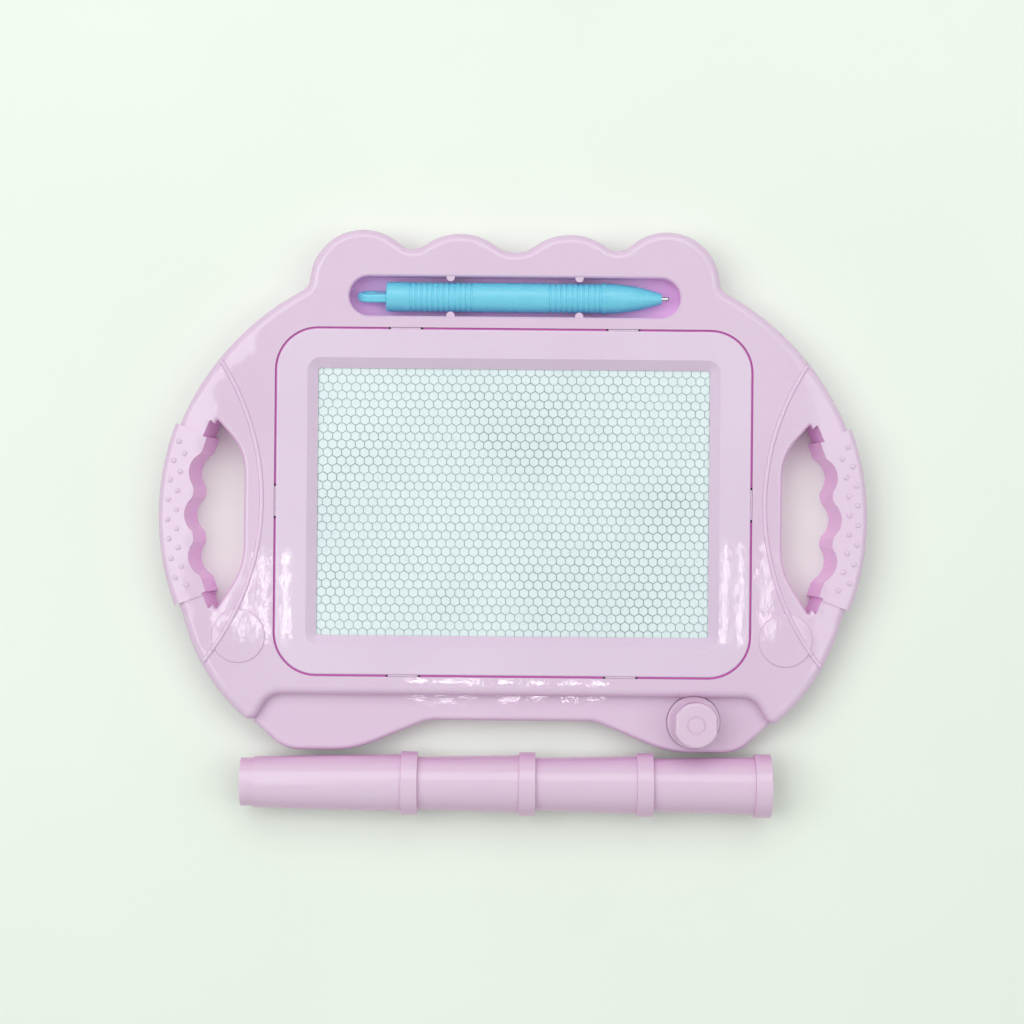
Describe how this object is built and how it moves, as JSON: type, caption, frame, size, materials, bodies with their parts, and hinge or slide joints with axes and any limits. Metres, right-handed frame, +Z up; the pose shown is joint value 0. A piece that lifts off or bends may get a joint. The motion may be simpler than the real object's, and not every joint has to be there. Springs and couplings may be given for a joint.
{
  "type": "magnetic drawing board",
  "caption": "Magnetic drawing board with a honeycomb sheet, a sliding eraser, a pen in its trough, a round stamp, two carrying handles and a nested set of tube legs.",
  "frame": {"origin": "the floor point under the middle of the whole set, board and legs together", "axes": "+X across the board to the right, +Y up the drawing sheet towards the pen, +Z up out of the face"},
  "size_m": [0.3196, 0.2644, 0.0352],
  "materials": {
    "lilac_shell": "gloss",
    "bezel_plastic": "gloss",
    "back_plastic": "satin",
    "clear_film": "gloss",
    "white_film": "satin",
    "cell_core": "satin",
    "pen_plastic": "gloss",
    "stamp_plastic": "gloss",
    "leg_plastic": "gloss",
    "eraser_plastic": "satin",
    "magnet_strip": "matte",
    "steel": "bright"
  },
  "bodies": {
    "board": {"front_frame": "lilac_shell", "bezel": "bezel_plastic", "back_film": "white_film", "honeycomb_core": "cell_core", "front_film": "clear_film", "back_cover": "back_plastic", "cover_screws": "steel"},
    "eraser": {"eraser_bar": "eraser_plastic", "eraser_magnet": "magnet_strip", "eraser_knob": "eraser_plastic"},
    "pen": {"pen_barrel": "pen_plastic", "pen_nose": "pen_plastic", "pen_tip": "steel", "pen_magnet": "steel"},
    "stamp": {"stamp_foot": "stamp_plastic", "stamp_grip": "stamp_plastic", "stamp_magnet": "magnet_strip"},
    "leg_4_body": {"leg_4": "leg_plastic"},
    "leg_3_body": {"leg_3": "leg_plastic"},
    "leg_2_body": {"leg_2": "leg_plastic"},
    "leg_1_body": {"leg_1": "leg_plastic"}
  },
  "joints": [
    {"name": "eraser_slide", "type": "slide", "parent": "board", "child": "eraser", "axis": [1, 0, 0], "range_m": [-0.08, 0.08]},
    {"name": "pen_lift", "type": "slide", "parent": "board", "child": "pen", "axis": [0, 0, 1], "range_m": [0, 0.06]},
    {"name": "stamp_lift", "type": "slide", "parent": "board", "child": "stamp", "axis": [0, 0, 1], "range_m": [0, 0.05]},
    {"name": "legs_take_away", "type": "slide", "parent": "board", "child": "leg_4_body", "axis": [0, -1, 0], "range_m": [0, 0.06]},
    {"name": "leg_3_pull", "type": "slide", "parent": "leg_4_body", "child": "leg_3_body", "axis": [-1, 0, 0], "range_m": [0, 0.04]},
    {"name": "leg_2_pull", "type": "slide", "parent": "leg_3_body", "child": "leg_2_body", "axis": [-1, 0, 0], "range_m": [0, 0.04]},
    {"name": "leg_1_pull", "type": "slide", "parent": "leg_2_body", "child": "leg_1_body", "axis": [-1, 0, 0], "range_m": [0, 0.04]}
  ]
}
